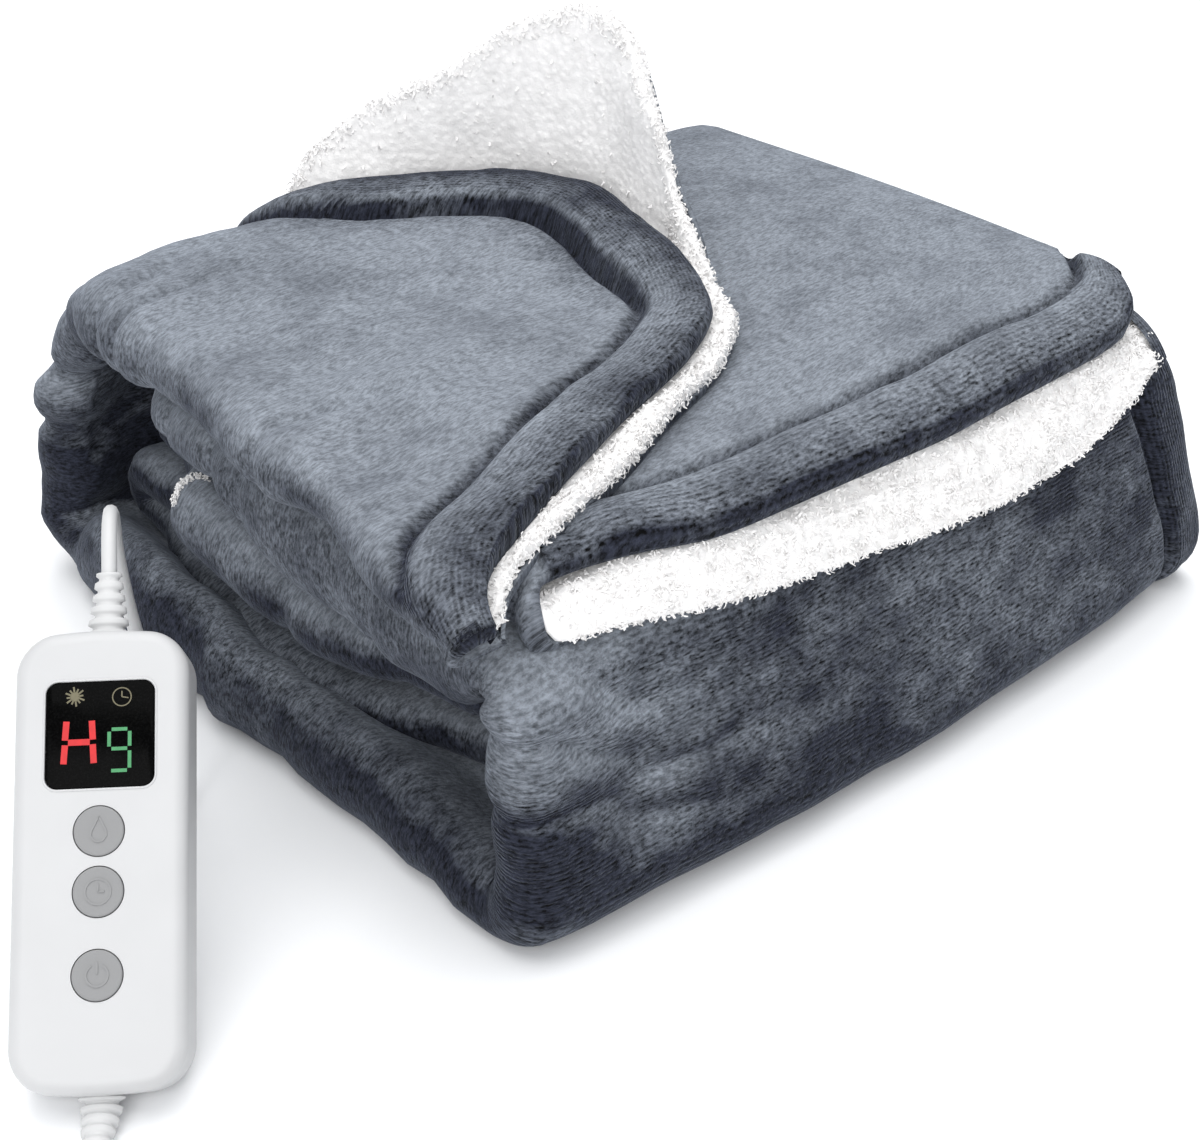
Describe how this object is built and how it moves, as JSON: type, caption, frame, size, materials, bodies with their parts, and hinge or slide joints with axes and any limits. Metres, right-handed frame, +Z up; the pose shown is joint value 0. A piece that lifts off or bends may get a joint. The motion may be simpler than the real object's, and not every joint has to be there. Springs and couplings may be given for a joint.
{
  "type": "electric heated blanket",
  "caption": "Folded plush heated throw with a white fleece lining, one corner turned up, and a wired hand controller with a display and push buttons leaning beside it.",
  "frame": {"origin": "middle of the flat underside of the folded stack, on the surface it rests on", "axes": "+X along the front wall of the stack, from the closed folds at its left end to the hems; +Y from the front wall to the back; +Z up"},
  "size_m": [0.6205, 0.578, 0.2564],
  "materials": {
    "plush": "blue-grey flannel plush with a soft sheen",
    "sherpa": "white curly sherpa fleece",
    "case_white": "satin white moulding",
    "display_black": "gloss black window",
    "button_grey": "soft grey rubber",
    "cord_white": "white flexible cord sheath",
    "plug_metal": "plain plug blades"
  },
  "bodies": {
    "blanket": {"plush_panel": "plush", "sherpa_lining": "sherpa", "controller_case": "case_white", "display_window": "display_black", "relief_top": "cord_white", "relief_bottom": "cord_white", "blanket_lead": "cord_white", "lead_coil": "cord_white", "lead_run": "cord_white", "blanket_gland": "cord_white", "mains_lead": "cord_white", "mains_coil": "cord_white", "plug_tail": "cord_white", "plug_body": "cord_white", "plug_blade_left": "plug_metal", "plug_blade_right": "plug_metal"},
    "heat_key": {"button_heat": "button_grey"},
    "timer_key": {"button_timer": "button_grey"},
    "power_key": {"button_power": "button_grey"}
  },
  "joints": [
    {"name": "heat_press", "type": "slide", "parent": "blanket", "child": "heat_key", "axis": [0.4248, 0.5496, -0.7193], "range_m": [0, 0.0008], "stiffness_N_per_m": 400},
    {"name": "timer_press", "type": "slide", "parent": "blanket", "child": "timer_key", "axis": [0.4248, 0.5496, -0.7193], "range_m": [0, 0.0008], "stiffness_N_per_m": 400},
    {"name": "power_press", "type": "slide", "parent": "blanket", "child": "power_key", "axis": [0.4248, 0.5496, -0.7193], "range_m": [0, 0.0008], "stiffness_N_per_m": 400}
  ]
}
